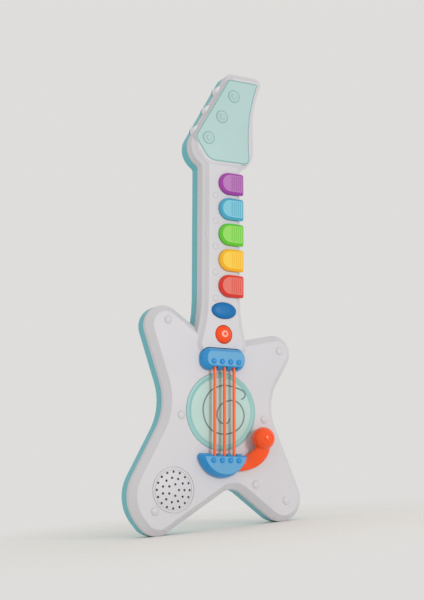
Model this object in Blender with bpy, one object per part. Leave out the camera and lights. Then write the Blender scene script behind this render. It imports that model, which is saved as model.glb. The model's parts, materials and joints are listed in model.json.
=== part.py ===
"""Toy electric guitar: two moulded shells, chord keys, strum strings and a whammy bar.

Sizes are in millimetres in the design frame and become metres when a mesh is made.
Design frame: +Z runs up the neck, +X is to the right seen from the front, the front faces -Y,
and the origin is the centre of the sound disc on the body's front plateau.
The stance empty leans the whole toy until both of the body's lobes stand on the floor.
"""
import math

import bmesh
import bpy
from mathutils import Vector

MM = 0.001
GAP = 0.3                    # clearance between neighbouring pieces
WALL = 2.2                   # moulded wall thickness
ARC_STEP = math.radians(18)  # turn of one straight piece of an outline's arc

# Depths, front to back (y)
NECK_FACE = -4.2
PLATEAU = 0.0
NECK_RIM = 0.6
BODY_RIM = 6.6
PARTING = 12.0
BACK_EDGE = 24.6
BACK = 28.0
BODY_BEVEL = 6.8
NECK_BEVEL = 6.4

# Outlines: arcs (x, z, radius, turn) joined by their common tangents, counterclockwise.
# turn is 1 where the outline bulges and -1 where it is hollow.
LEFT_FOOT = (-70.0, -106.3, 21.0, 1)
RIGHT_FOOT = (75.5, -89.0, 24.5, 1)
BODY_ARCS = [
    (15.6, -99.1, 19.0, -1),     # crotch between the lobes
    RIGHT_FOOT,
    (114.6, 7.5, 50.0, -1),      # right waist
    (68.3, 66.0, 19.5, 1),       # right horn
    (4.4, 102.2, 30.0, -1),      # saddle under the neck
    (-64.0, 87.0, 21.2, 1),      # left horn
    (-125.3, 9.5, 62.0, -1),     # left waist
    (-58.9, -87.0, 42.0, 1),     # left flank
    LEFT_FOOT,
]
NECK_HALF = 23.2
FLARE_R = 150.0
HEEL_Z = 70.0
NECK_ARCS = [
    (17.0, HEEL_Z, 14.0, 1),                        # heel, right
    (NECK_HALF + FLARE_R, 120.0, FLARE_R, -1),      # flare, right
    (NECK_HALF + 4.0, 261.0, 4.0, -1),              # neck meets headstock, right
    (14.0, 289.0, 26.5, 1),                         # headstock chin, right
    (154.7, 317.0, 115.0, -1),                      # headstock side
    (42.8, 367.3, 7.2, 1),                          # top right corner
    (13.2, 367.3, 7.2, 1),                          # top left corner
    (-14.0, 286.0, 22.5, 1),                        # headstock chin, left
    (-NECK_HALF - 4.0, 262.6, 4.0, -1),             # neck meets headstock, left
    (-NECK_HALF - FLARE_R, 120.0, FLARE_R, -1),     # flare, left
    (-17.0, HEEL_Z, 14.0, 1),                       # heel, left
]

# Chord keys
KEY_NAMES = ["key_purple", "key_blue", "key_green", "key_yellow", "key_red"]
KEY_TOP_Z = 245.8
KEY_PITCH = 28.2
KEY_R = 12.0
KEY_CORNER = 2.6
KEY_ARC_X = 6.6
KEY_RIGHT = 23.8
KEY_THROAT_RIGHT = 19.4
KEY_TOP = -9.2
KEY_TRAVEL = 1.8
FLANGE_FRONT = NECK_FACE + WALL + GAP
FLANGE_BACK = FLANGE_FRONT + 1.5

# Buttons on the heel
BUTTON_X = 0.9
MODE_Z = 106.2
MODE_HALF_X = 14.6
MODE_HALF_Z = 8.8
MODE_TOP = -7.4
POWER_Z = 80.8
POWER_R = 9.9
POWER_TOP = -7.6

# Strings and their rockers
STRING_X = (-11.3, 0.0, 11.3)
STRING_R = 1.6
STRING_Y = -7.5
ROCKER_Z = 49.0
ROCKER_Y = 3.0
ROCKER_PIN_R = 1.2

# Bridges
BRIDGE_TOP = -11.9
UPPER_BRIDGE_Z = 54.3
UPPER_BRIDGE_HALF_X = 25.8
UPPER_BRIDGE_HALF_Z = 11.8
LOWER_BRIDGE_R = 28.9
LOWER_BRIDGE_Z = -40.0
LOWER_BRIDGE_TOP_Z = -43.5
BRIDGE_CORNER = 10.0
BUMP_X = (-14.7, -4.9, 4.9, 14.7)
BUMP_R = 2.6

# Whammy bar
WHAMMY_X = 12.0
WHAMMY_Z = -55.0
WHAMMY_HUB_R = 6.5
WHAMMY_BALL = (43.3, -13.0, -27.5)
WHAMMY_BALL_R = 12.0

# Disc, speaker and small domes
DISC_R = 40.7
SPEAKER_X = -54.4
SPEAKER_Z = -81.2
SPEAKER_R = 23.0
GRILLE_RINGS = ((6.0, 5), (12.2, 11), (18.3, 16))
SCREW_SPOTS = [(-62.0, 92.5), (-46.0, -5.0), (-74.5, -102.5), (71.5, 68.0), (52.0, -6.5),
               (41.5, -75.0), (78.5, -91.5)]
NECK_SCREWS = [(-16.0, 189.4), (-14.0, 290.0), (24.0, 345.0)]
FRET_X = -8.8
DOME_R = 4.4

# Batteries and their door
CELL_R = 7.0
CELL_LENGTH = 49.0
CELL_Y = 18.3
CELL_PITCH = 15.3
CELL_Z = -12.0
BAY_HALF_X = 23.5
BAY_LOW_Z = -41.0
BAY_HIGH_Z = 17.0
DOOR_HALF_X = 26.1
DOOR_LOW_Z = -43.6
DOOR_HIGH_Z = 30.0
DOOR_HINGE_Y = 27.0
DOOR_HINGE_Z = -43.0
DOOR_SWING = 0.8             # room below the hinge for the door's turning edge
DOOR_SCREW_Z = 24.5

# Headstock panel, and the raised plate of the shell that it sits on
PANEL_ARCS = [
    (26.0, 277.0, 6.2, 1),          # bottom right corner
    (204.5, 302.0, 173.0, -1),      # side that follows the headstock's waist
    (40.6, 363.8, 2.0, 1),          # top right corner
    (8.1, 363.3, 2.0, 1),           # top left corner
    (-26.7, 294.4, 6.0, 1),         # left corner
    (-9.0, 285.6, 15.6, 1),         # bottom left
]
PANEL_PROUD = 0.6                   # how far the panel stands out of the shell
PANEL_DEPTH = 0.6                   # how deep it is let in
PANEL_DOMES = [(13.0, 346.5), (-1.9, 320.8), (-18.0, 294.6)]
PANEL_DOME_R = 6.6
PLATE_BORDER = 0.6
PLATE_SKIRT = 0.8

# Tuning pegs on the slanted side of the headstock: white in front of the parting line,
# with a matching bump of the back shell behind it
PEG_SPOTS = [(1.0, 352.6), (-12.2, 328.4), (-26.0, 303.3)]
PEG_R = 6.6
PEG_FRONT = 1.6
PEG_BACK = 11.7
PEG_BUMP_BACK = 15.8
PEG_ROUND = 1.2

COLOURS = {
    "white": ((0.80, 0.79, 0.80), 0.32),
    "teal": ((0.10, 0.42, 0.47), 0.35),
    "mint": ((0.40, 0.62, 0.60), 0.40),
    "aqua": ((0.50, 0.75, 0.73), 0.38),
    "purple": ((0.46, 0.10, 0.47), 0.28),
    "light_blue": ((0.16, 0.58, 0.72), 0.28),
    "green": ((0.24, 0.68, 0.08), 0.28),
    "yellow": ((0.85, 0.52, 0.03), 0.28),
    "red": ((0.78, 0.08, 0.05), 0.28),
    "blue": ((0.03, 0.26, 0.60), 0.28),
    "orange": ((0.95, 0.13, 0.01), 0.28),
    "rubber": ((0.22, 0.22, 0.23), 0.80),
    "board": ((0.03, 0.22, 0.08), 0.50),
    "black": ((0.02, 0.02, 0.02), 0.40),
    "paper": ((0.05, 0.05, 0.05), 0.90),
    "cell": ((0.55, 0.42, 0.10), 0.30),
    "steel": ((0.60, 0.60, 0.62), 0.30),
}
METALS = {"cell", "steel"}


# ---------------------------------------------------------------- materials and scene

def clear_scene():
    for obj in list(bpy.data.objects):
        bpy.data.objects.remove(obj, do_unlink=True)


def material(name):
    found = bpy.data.materials.get(name)
    if found:
        return found
    colour, roughness = COLOURS[name]
    made = bpy.data.materials.new(name)
    made.use_nodes = True
    shader = made.node_tree.nodes["Principled BSDF"]
    shader.inputs["Base Color"].default_value = (*colour, 1.0)
    shader.inputs["Roughness"].default_value = roughness
    shader.inputs["Metallic"].default_value = 1.0 if name in METALS else 0.0
    return made


# ---------------------------------------------------------------- outlines in the XZ plane

def tangent_direction(first, second):
    """Travel direction of the line that leaves the first arc and joins the second."""
    dx = second[0] - first[0]
    dz = second[1] - first[1]
    span = dx * dx + dz * dz
    offset = second[3] * second[2] - first[3] * first[2]
    run = math.sqrt(max(span - offset * offset, 0.0))
    return math.atan2(run * dz - offset * dx, run * dx + offset * dz)


def outline(arcs, inset=0.0, step=ARC_STEP):
    """Closed chain of arcs and tangents, moved inwards by inset, as (x, z) points."""
    points = []
    count = len(arcs)
    for i, (cx, cz, radius, turn) in enumerate(arcs):
        enter = tangent_direction(arcs[i - 1], arcs[i])
        leave = tangent_direction(arcs[i], arcs[(i + 1) % count])
        sweep = turn * ((turn * (leave - enter)) % math.tau)
        pieces = max(2, math.ceil(abs(sweep) / step - 0.001))
        reach = turn * radius - inset
        for k in range(pieces + 1):
            heading = enter + sweep * k / pieces
            points.append((cx + reach * math.sin(heading), cz - reach * math.cos(heading)))
    return points


def circle(cx, cz, radius, count=16):
    return [(cx + radius * math.cos(math.tau * k / count), cz + radius * math.sin(math.tau * k / count))
            for k in range(count)]


def ellipse(cx, cz, half_x, half_z, count=24):
    return [(cx + half_x * math.cos(math.tau * k / count), cz + half_z * math.sin(math.tau * k / count))
            for k in range(count)]


def rectangle(x0, x1, z0, z1):
    return [(x0, z0), (x1, z0), (x1, z1), (x0, z1)]


def rounded(x0, x1, z0, z1, radius, inset=0.0):
    corners = [(x1 - radius, z0 + radius), (x1 - radius, z1 - radius),
               (x0 + radius, z1 - radius), (x0 + radius, z0 + radius)]
    return outline([(x, z, radius, 1) for x, z in corners], inset, math.radians(30))


def key_outline(z, right=KEY_RIGHT, inset=0.0):
    """D shape: round on the left, straight on the right."""
    side = KEY_R - KEY_CORNER
    across = right - KEY_CORNER
    return outline([(across, z - side, KEY_CORNER, 1), (across, z + side, KEY_CORNER, 1),
                    (KEY_ARC_X, z, KEY_R, 1)], inset, math.radians(20))


def half_moon(inset=0.0):
    """Lower bridge: straight edge on top, half round below, with rounded ends."""
    corner = 4.0
    level = LOWER_BRIDGE_TOP_Z - corner
    reach = LOWER_BRIDGE_R - corner
    end = math.sqrt(reach * reach - (level - LOWER_BRIDGE_Z) ** 2)
    return outline([(0.0, LOWER_BRIDGE_Z, LOWER_BRIDGE_R, 1), (end, level, corner, 1),
                    (-end, level, corner, 1)], inset, math.radians(13))


# ---------------------------------------------------------------- solids

def solid(name, loops):
    """Closed body through loops of equal length, each a list of (x, y, z)."""
    mesh = bpy.data.meshes.new(name)
    bm = bmesh.new()
    rings = [[bm.verts.new(Vector(p) * MM) for p in loop] for loop in loops]
    for low, high in zip(rings, rings[1:]):
        for k in range(len(low)):
            j = (k + 1) % len(low)
            bm.faces.new((low[k], low[j], high[j], high[k]))
    bm.faces.new(rings[0])
    bm.faces.new(rings[-1])
    bmesh.ops.recalc_face_normals(bm, faces=bm.faces)
    bm.to_mesh(mesh)
    bm.free()
    obj = bpy.data.objects.new(name, mesh)
    bpy.context.scene.collection.objects.link(obj)
    return obj


def layers(name, steps):
    """Body through flat outlines at rising depth: steps are (y, points) pairs."""
    return solid(name, [[(x, y, z) for x, z in points] for y, points in steps])


def prism(points, y0, y1, name="tool"):
    return layers(name, [(y0, points), (y1, points)])


def box(x0, x1, y0, y1, z0, z1, name="tool"):
    return prism(rectangle(x0, x1, z0, z1), y0, y1, name)


def turned(name, cx, cz, profile, count=16):
    """Solid of revolution about an axis along Y: profile is (radius, y) pairs, front to back."""
    return layers(name, [(y, circle(cx, cz, radius, count)) for radius, y in profile])


def rod(name, x, y, z0, z1, radius, count=10):
    """Round bar along Z."""
    rings = []
    for z in (z0, z1):
        rings.append([(x + radius * math.cos(math.tau * k / count),
                       y + radius * math.sin(math.tau * k / count), z) for k in range(count)])
    return solid(name, rings)


def dome(cx, cz, base, radius, height, count=10):
    """Low round dome that stands out towards the front, with its foot sunk into the face."""
    steps = [(radius * 0.4, base - height), (radius * 0.8, base - 0.65 * height), (radius, base + 1.0)]
    return turned("tool", cx, cz, steps, count)


def combine(obj, tool, operation):
    """Apply one Boolean to obj and drop the tool."""
    step = obj.modifiers.new("step", "BOOLEAN")
    step.operation = operation
    step.solver = "EXACT"
    step.object = tool
    bpy.context.view_layer.update()
    graph = bpy.context.evaluated_depsgraph_get()
    result = bpy.data.meshes.new_from_object(obj.evaluated_get(graph))
    obj.modifiers.clear()
    obj.data = result
    bpy.data.objects.remove(tool, do_unlink=True)


def add(obj, *tools):
    for tool in tools:
        combine(obj, tool, "UNION")


def cut(obj, *tools):
    for tool in tools:
        combine(obj, tool, "DIFFERENCE")


def joined(tools):
    """Several separate tools in one object, for a single Boolean."""
    base = tools[0]
    bm = bmesh.new()
    for tool in tools:
        bm.from_mesh(tool.data)
    bm.to_mesh(base.data)
    bm.free()
    for tool in tools[1:]:
        bpy.data.objects.remove(tool, do_unlink=True)
    return base


def finish(obj, name, colour, stance, origin=(0.0, 0.0, 0.0)):
    """Name the piece, give it its material and put its origin on its joint's axis."""
    obj.name = name
    obj.data.name = name
    pivot = Vector(origin) * MM
    for vertex in obj.data.vertices:
        vertex.co -= pivot
    obj.location = pivot
    obj.parent = stance
    obj.data.materials.clear()
    obj.data.materials.append(material(colour))
    obj.data.shade_smooth()
    obj.data.set_sharp_from_angle(angle=math.radians(32))
    return obj


# ---------------------------------------------------------------- shells

def front_shell(stance):
    """Body plate, neck front and headstock front in one moulding, open at the back."""
    shell = layers("front_shell", [
        (PLATEAU, outline(BODY_ARCS, BODY_BEVEL)),
        (BODY_RIM, outline(BODY_ARCS)),
        (PARTING, outline(BODY_ARCS))])
    neck = layers("tool", [
        (NECK_FACE, outline(NECK_ARCS, NECK_BEVEL)),
        (NECK_RIM, outline(NECK_ARCS)),
        (PARTING, outline(NECK_ARCS))])
    plate = layers("tool", [
        (NECK_FACE, panel_outline(-PLATE_BORDER)),
        (NECK_RIM - 2.2, panel_outline(-PLATE_SKIRT)),
        (NECK_RIM - 0.6, panel_outline(-PLATE_SKIRT))])
    add(shell, neck, plate)
    body_room = layers("tool", [
        (PLATEAU + WALL, outline(BODY_ARCS, BODY_BEVEL + 1.0)),
        (BODY_RIM + 0.9, outline(BODY_ARCS, WALL)),
        (PARTING + 1.0, outline(BODY_ARCS, WALL))])
    neck_room = layers("tool", [
        (NECK_FACE + WALL, outline(NECK_ARCS, NECK_BEVEL + 1.0)),
        (NECK_RIM + 0.9, outline(NECK_ARCS, WALL)),
        (PARTING + 1.0, outline(NECK_ARCS, WALL))])
    cut(shell, body_room, neck_room)
    add_front_posts(shell)
    cut_front_openings(shell)
    domes = [dome(x, z, PLATEAU, DOME_R, 1.6) for x, z in SCREW_SPOTS]
    domes += [dome(FRET_X, key_z(i) - KEY_PITCH / 2, NECK_FACE, DOME_R - 0.8, 1.2)
              for i in range(len(KEY_NAMES))]
    add(shell, joined(domes))
    return finish(shell, "front_shell", "white", stance)


def key_z(index):
    return KEY_TOP_Z - index * KEY_PITCH


def add_front_posts(shell):
    """Screw posts, rocker lugs and the whammy bar's pivot post."""
    posts = [turned("tool", x, z, [(3.8, PLATEAU + 1.2), (3.8, PARTING - 0.4)], 8)
             for x, z in SCREW_SPOTS]
    posts += [turned("tool", x, z, [(3.6, NECK_FACE + 1.4), (3.6, PARTING - 0.4)], 8)
              for x, z in NECK_SCREWS]
    posts.append(turned("tool", WHAMMY_X, WHAMMY_Z, [(3.0, -5.2), (3.0, 8.0)], 12))
    for side in (-1, 1):
        for offset in (-6.6, 5.0):
            near = side * ROCKER_Z + offset
            posts.append(box(-4.0, 4.0, PLATEAU + 1.0, 6.0, near, near + 1.6))
    add(shell, joined(posts))
    holes = [turned("tool", x, z, [(1.4, 4.0), (1.4, PARTING + 1.0)], 6) for x, z in SCREW_SPOTS]
    holes += [turned("tool", x, z, [(1.4, 1.6), (1.4, PARTING + 1.0)], 6) for x, z in NECK_SCREWS]
    holes.append(turned("tool", WHAMMY_X, WHAMMY_Z, [(1.4, -6.0), (1.4, 4.0)], 8))
    holes += [rod("tool", 0.0, ROCKER_Y, side * ROCKER_Z - 8.0, side * ROCKER_Z + 8.0,
                  ROCKER_PIN_R + GAP, 8) for side in (-1, 1)]
    cut(shell, joined(holes))


def cut_front_openings(shell):
    """Key and button openings, disc and panel recesses, grille holes and peg notches."""
    half_x, half_z = UPPER_BRIDGE_HALF_X + GAP, UPPER_BRIDGE_HALF_Z + GAP
    seat = rounded(-half_x, half_x, UPPER_BRIDGE_Z - half_z, UPPER_BRIDGE_Z + half_z, BRIDGE_CORNER + GAP)
    cut(shell, prism(seat, -12.0, -0.1))
    slots = [prism(key_outline(key_z(i), KEY_THROAT_RIGHT + 0.5, -0.5), -12.0, 2.6)
             for i in range(len(KEY_NAMES))]
    slots.append(prism(ellipse(BUTTON_X, MODE_Z, MODE_HALF_X + 0.5, MODE_HALF_Z + 0.5), -12.0, 2.6))
    slots.append(prism(circle(BUTTON_X, POWER_Z, POWER_R + 0.5, 24), -12.0, 2.6))
    slots += [box(-4.6, 4.6, -2.0, 4.0, side * ROCKER_Z - 3.0, side * ROCKER_Z + 3.0)
              for side in (-1, 1)]
    cut(shell, joined(slots))
    cut(shell, prism(circle(0.0, 0.0, DISC_R + GAP, 40), -2.0, 0.9))
    cut(shell, prism(panel_outline(-GAP), NECK_FACE - 1.0, NECK_FACE + PANEL_DEPTH + GAP))
    groove = prism(circle(SPEAKER_X, SPEAKER_Z, SPEAKER_R + 0.7, 32), -1.0, 0.8)
    cut(groove, prism(circle(SPEAKER_X, SPEAKER_Z, SPEAKER_R - 0.7, 32), -2.0, 2.0))
    cut(shell, groove)
    holes = []
    for radius, count in GRILLE_RINGS:
        for k in range(count):
            turn = math.tau * k / count
            holes.append(prism(circle(SPEAKER_X + radius * math.cos(turn),
                                      SPEAKER_Z + radius * math.sin(turn), 1.3, 6), -2.0, 4.0))
    cut(shell, joined(holes))
    notches = [turned("tool", x, z, [(PEG_R + GAP, PEG_FRONT - GAP), (PEG_R + GAP, PARTING + 1.0)], 20)
               for x, z in PEG_SPOTS]
    cut(shell, joined(notches))


def panel_outline(inset=0.0):
    return outline(PANEL_ARCS, inset)


def back_shell(stance):
    """Back of body, neck and headstock, with screw wells and the battery bay."""
    front = PARTING + GAP
    levels = [(front, 0.0), (BACK_EDGE, 0.0), (BACK_EDGE + 2.2, 1.1), (BACK, 4.0)]
    shell = layers("back_shell", [(y, outline(BODY_ARCS, inset)) for y, inset in levels])
    add(shell, layers("tool", [(y, outline(NECK_ARCS, inset)) for y, inset in levels]))
    bumps = [turned("tool", x, z, [(PEG_R, front), (PEG_R, PEG_BUMP_BACK - PEG_ROUND),
                                   (PEG_R - PEG_ROUND, PEG_BUMP_BACK)], 20) for x, z in PEG_SPOTS]
    room = [(front - 1.0, WALL), (BACK_EDGE - 0.6, WALL), (BACK - WALL, 4.8)]
    cut(shell, layers("tool", [(y, outline(BODY_ARCS, inset)) for y, inset in room]),
        layers("tool", [(y, outline(NECK_ARCS, inset)) for y, inset in room]))
    add(shell, joined(bumps))
    spots = SCREW_SPOTS + NECK_SCREWS
    wells = [turned("tool", x, z, [(4.8, front), (4.8, BACK - 1.0)], 8) for x, z in spots]
    wells.append(turned("tool", 0.0, DOOR_SCREW_Z, [(4.5, 16.0), (4.5, BACK - 1.0)], 12))
    add(shell, joined(wells))
    add(shell, box(-BAY_HALF_X - 1.8, BAY_HALF_X + 1.8, 9.0, BACK - 1.0,
                   BAY_LOW_Z - 1.8, BAY_HIGH_Z + 1.8))
    add(shell, box(-DOOR_HALF_X - 2.6, DOOR_HALF_X + 2.6, 23.8, BACK - 1.0, DOOR_LOW_Z - 2.6,
                   DOOR_HIGH_Z + 2.6))
    holes = [turned("tool", x, z, [(1.8, front - 1.0), (1.8, BACK + 1.0)], 6) for x, z in spots]
    cut(shell, joined(holes))
    holes = [turned("tool", x, z, [(3.5, 20.0), (3.5, BACK + 1.0)], 10) for x, z in spots]
    cut(shell, joined(holes))
    door_gap = 0.4
    cut(shell, box(-DOOR_HALF_X - door_gap, DOOR_HALF_X + door_gap, 25.8, BACK + 1.0,
                   DOOR_LOW_Z - DOOR_SWING, DOOR_HIGH_Z + door_gap))
    cut(shell, box(-BAY_HALF_X, BAY_HALF_X, 10.8, BACK + 1.0, BAY_LOW_Z, BAY_HIGH_Z))
    cut(shell, turned("tool", 0.0, DOOR_SCREW_Z, [(1.5, 18.0), (1.5, BACK + 1.0)], 8))
    return finish(shell, "back_shell", "teal", stance)


# ---------------------------------------------------------------- front trim

def sound_disc(stance):
    disc = turned("sound_disc", 0.0, 0.0, [(DISC_R - 0.6, -0.9), (DISC_R, -0.4), (DISC_R, 0.6)], 40)
    finish(disc, "sound_disc", "mint", stance)


def head_panel(stance):
    face = NECK_FACE - PANEL_PROUD
    panel = layers("head_panel", [(face, panel_outline(0.5)), (face + 0.5, panel_outline()),
                                  (NECK_FACE + PANEL_DEPTH, panel_outline())])
    add(panel, joined([dome(x, z, face, PANEL_DOME_R, 1.5, 16) for x, z in PANEL_DOMES]))
    finish(panel, "head_panel", "aqua", stance)


def tuning_pegs(stance):
    for i, (x, z) in enumerate(PEG_SPOTS, 1):
        peg = turned("peg", x, z, [(PEG_R - PEG_ROUND, PEG_FRONT), (PEG_R, PEG_FRONT + PEG_ROUND),
                                   (PEG_R, PEG_BACK)], 20)
        finish(peg, f"tuning_peg_{i}", "white", stance, (x, PARTING, z))


# ---------------------------------------------------------------- keys and buttons

def chord_keys(stance):
    colours = ["purple", "light_blue", "green", "yellow", "red"]
    for i, name in enumerate(KEY_NAMES):
        z = key_z(i)
        key = layers(name, [(KEY_TOP, key_outline(z, inset=2.4)), (KEY_TOP + 2.0, key_outline(z, inset=0.7)),
                            (NECK_FACE, key_outline(z))])
        add(key, prism(key_outline(z, KEY_THROAT_RIGHT), NECK_FACE - 1.0, FLANGE_FRONT + 0.5))
        add(key, prism(rounded(-8.6, 13.5, z - 13.7, z + 13.7, 6.0), FLANGE_FRONT, FLANGE_BACK))
        finish(key, name, colours[i], stance, (KEY_ARC_X, FLANGE_BACK, z))


def heel_buttons(stance):
    mode = layers("mode_button", [
        (MODE_TOP, ellipse(BUTTON_X, MODE_Z, MODE_HALF_X - 2.6, MODE_HALF_Z - 2.4)),
        (MODE_TOP + 1.1, ellipse(BUTTON_X, MODE_Z, MODE_HALF_X - 0.5, MODE_HALF_Z - 0.5)),
        (MODE_TOP + 2.0, ellipse(BUTTON_X, MODE_Z, MODE_HALF_X, MODE_HALF_Z)),
        (FLANGE_FRONT + 0.5, ellipse(BUTTON_X, MODE_Z, MODE_HALF_X, MODE_HALF_Z))])
    add(mode, prism(ellipse(BUTTON_X, MODE_Z, MODE_HALF_X + 1.4, MODE_HALF_Z + 1.4), FLANGE_FRONT, FLANGE_BACK))
    finish(mode, "mode_button", "blue", stance, (BUTTON_X, FLANGE_BACK, MODE_Z))
    power = turned("power_button", BUTTON_X, POWER_Z, [
        (POWER_R - 4.0, POWER_TOP), (POWER_R - 1.6, POWER_TOP + 0.6), (POWER_R - 0.2, POWER_TOP + 2.0),
        (POWER_R, POWER_TOP + 3.4), (POWER_R, FLANGE_FRONT + 0.5)], 24)
    add(power, prism(circle(BUTTON_X, POWER_Z, POWER_R + 1.4, 24), FLANGE_FRONT, FLANGE_BACK))
    finish(power, "power_button", "orange", stance, (BUTTON_X, FLANGE_BACK, POWER_Z))


def pads_and_board(stance):
    """Rubber pads under the keys and buttons, on the long neck board."""
    pad_top = FLANGE_BACK + KEY_TRAVEL + GAP
    base = 4.4
    strip = box(-9.0, 15.0, base, base + 1.1, 118.0, 258.0)
    add(strip, joined([turned("tool", 3.0, key_z(i), [(3.2, pad_top), (4.6, base + 0.5)], 10)
                       for i in range(len(KEY_NAMES))]))
    finish(strip, "key_pad_strip", "rubber", stance)
    pad = box(-9.0, 9.0, base, base + 1.1, 72.0, 114.0)
    add(pad, joined([turned("tool", 0.0, z, [(3.2, pad_top), (4.6, base + 0.5)], 10)
                     for z in (MODE_Z, POWER_Z)]))
    finish(pad, "button_pad", "rubber", stance)
    finish(box(-11.0, 16.0, 5.8, 7.4, 68.0, 262.0), "neck_board", "board", stance)


# ---------------------------------------------------------------- strings

def strings(stance):
    axis = (0.0, ROCKER_Y, 0.0)
    for name, x in zip(("string_left", "string_middle", "string_right"), STRING_X):
        string = rod(name, x, STRING_Y, -ROCKER_Z + 1.8, ROCKER_Z - 1.8, STRING_R)
        finish(string, name, "orange", stance, axis)
    for name, side in (("rocker_upper", 1), ("rocker_lower", -1)):
        z = side * ROCKER_Z
        rocker = box(-12.3, 12.3, -8.9, -6.1, z - 1.5, z + 1.5)
        add(rocker, box(-3.0, 3.0, -7.0, 4.9, z - 1.4, z + 1.4))
        cut(rocker, rod("tool", 0.0, ROCKER_Y, z - 4.0, z + 4.0, ROCKER_PIN_R + GAP, 8))
        finish(rocker, name, "orange", stance, axis)
        pin = rod("pin", 0.0, ROCKER_Y, z - 7.0, z + 7.0, ROCKER_PIN_R, 8)
        finish(pin, name.replace("rocker", "rocker_pin"), "steel", stance, (0.0, ROCKER_Y, z))
    finish(box(9.0, 17.0, 2.5, 7.0, ROCKER_Z - 3.0, ROCKER_Z + 4.0), "strum_switch", "black", stance)


def string_slots(z0, z1):
    return joined([box(x - 2.9, x + 2.9, -10.1, 1.0, z0, z1) for x in STRING_X])


def bumps(z):
    """Row of round bumps on a bridge, like string pegs."""
    return joined([dome(x, z, BRIDGE_TOP, BUMP_R, 1.3) for x in BUMP_X])


def bridges(stance):
    """Hollow covers over the ends of the strings, open at the bottom."""
    low, high = UPPER_BRIDGE_Z - UPPER_BRIDGE_HALF_Z, UPPER_BRIDGE_Z + UPPER_BRIDGE_HALF_Z

    def block(inset):
        return rounded(-UPPER_BRIDGE_HALF_X, UPPER_BRIDGE_HALF_X, low, high, BRIDGE_CORNER, inset)

    upper = layers("bridge_upper", [(BRIDGE_TOP, block(4.6)), (BRIDGE_TOP + 1.6, block(2.4)),
                                    (-5.0, block(0.5)), (-0.4, block(0.0))])
    cut(upper, layers("tool", [(BRIDGE_TOP + 1.8, block(5.0)), (-5.0, block(2.4)), (1.0, block(2.0))]))
    cut(upper, string_slots(low - 2.0, low + 5.0))
    add(upper, bumps(UPPER_BRIDGE_Z - 3.4))
    finish(upper, "bridge_upper", "blue", stance)
    lower = layers("bridge_lower", [(BRIDGE_TOP, half_moon(3.4)), (BRIDGE_TOP + 1.6, half_moon(1.8)),
                                    (-5.0, half_moon(0.5)), (-0.4, half_moon())])
    cut(lower, layers("tool", [(BRIDGE_TOP + 1.8, half_moon(3.8)), (-5.0, half_moon(2.4)),
                               (1.0, half_moon(2.0))]))
    cut(lower, string_slots(LOWER_BRIDGE_TOP_Z - 5.0, LOWER_BRIDGE_TOP_Z + 2.0))
    add(lower, bumps(LOWER_BRIDGE_TOP_Z - 7.5))
    inner, outer = 6.0, 34.0
    edge = [(inner, -88)] + [(outer, turn) for turn in (-80, -50, -20, 15, 48)] + [(inner, 48)]
    sector = [(WHAMMY_X + radius * math.cos(math.radians(turn)),
               WHAMMY_Z + radius * math.sin(math.radians(turn))) for radius, turn in edge]
    cut(lower, prism(sector, -8.6, 1.0))
    finish(lower, "bridge_lower", "blue", stance)


# ---------------------------------------------------------------- whammy bar

def whammy(stance):
    """Flat hub on the pivot post, a thick curved arm and a ball."""
    hub_front, hub_back = -4.9, -0.9
    bar = turned("whammy_bar", WHAMMY_X, WHAMMY_Z, [(WHAMMY_HUB_R, hub_front), (WHAMMY_HUB_R, hub_back)], 20)
    route = [(WHAMMY_X + 4.0, -2.9, WHAMMY_Z - 0.6), (21.0, -3.2, -55.4), (29.5, -4.2, -52.6),
             (36.5, -6.8, -48.4), (42.0, -9.6, -42.2), (44.2, -11.8, -34.0), WHAMMY_BALL]
    half_widths = (4.8, 6.2, 7.6, 8.4, 8.2, 7.8, 7.0)
    half_depths = (1.9, 2.3, 3.0, 4.8, 5.6, 6.2, 6.4)
    rings = []
    for i, (x, y, z) in enumerate(route):
        before = route[max(i - 1, 0)]
        after = route[min(i + 1, len(route) - 1)]
        heading = math.atan2(after[2] - before[2], after[0] - before[0])
        ring = []
        for k in range(14):
            turn = math.tau * k / 14
            across = half_widths[i] * math.cos(turn)
            ring.append((x - across * math.sin(heading), y + half_depths[i] * math.sin(turn),
                         z + across * math.cos(heading)))
        rings.append(ring)
    add(bar, solid("tool", rings))
    bx, by, bz = WHAMMY_BALL
    profile = [(WHAMMY_BALL_R * math.sin(math.pi * (k + 0.25) / 10.5),
                by - WHAMMY_BALL_R * math.cos(math.pi * (k + 0.25) / 10.5)) for k in range(11)]
    add(bar, turned("tool", bx, bz, profile, 16))
    cut(bar, turned("tool", WHAMMY_X, WHAMMY_Z, [(3.3, -9.0), (3.3, 3.0)], 12))
    finish(bar, "whammy_bar", "orange", stance, (WHAMMY_X, hub_back, WHAMMY_Z))
    screw = turned("screw", WHAMMY_X, WHAMMY_Z, [(2.4, -7.2), (3.6, -6.6), (3.6, -5.5)], 12)
    add(screw, turned("tool", WHAMMY_X, WHAMMY_Z, [(1.1, -6.0), (1.1, 3.4)], 8))
    finish(screw, "whammy_screw", "steel", stance)
    finish(box(17.0, 25.0, 2.6, 7.5, -60.0, -52.0), "whammy_switch", "black", stance)


# ---------------------------------------------------------------- electronics

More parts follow.
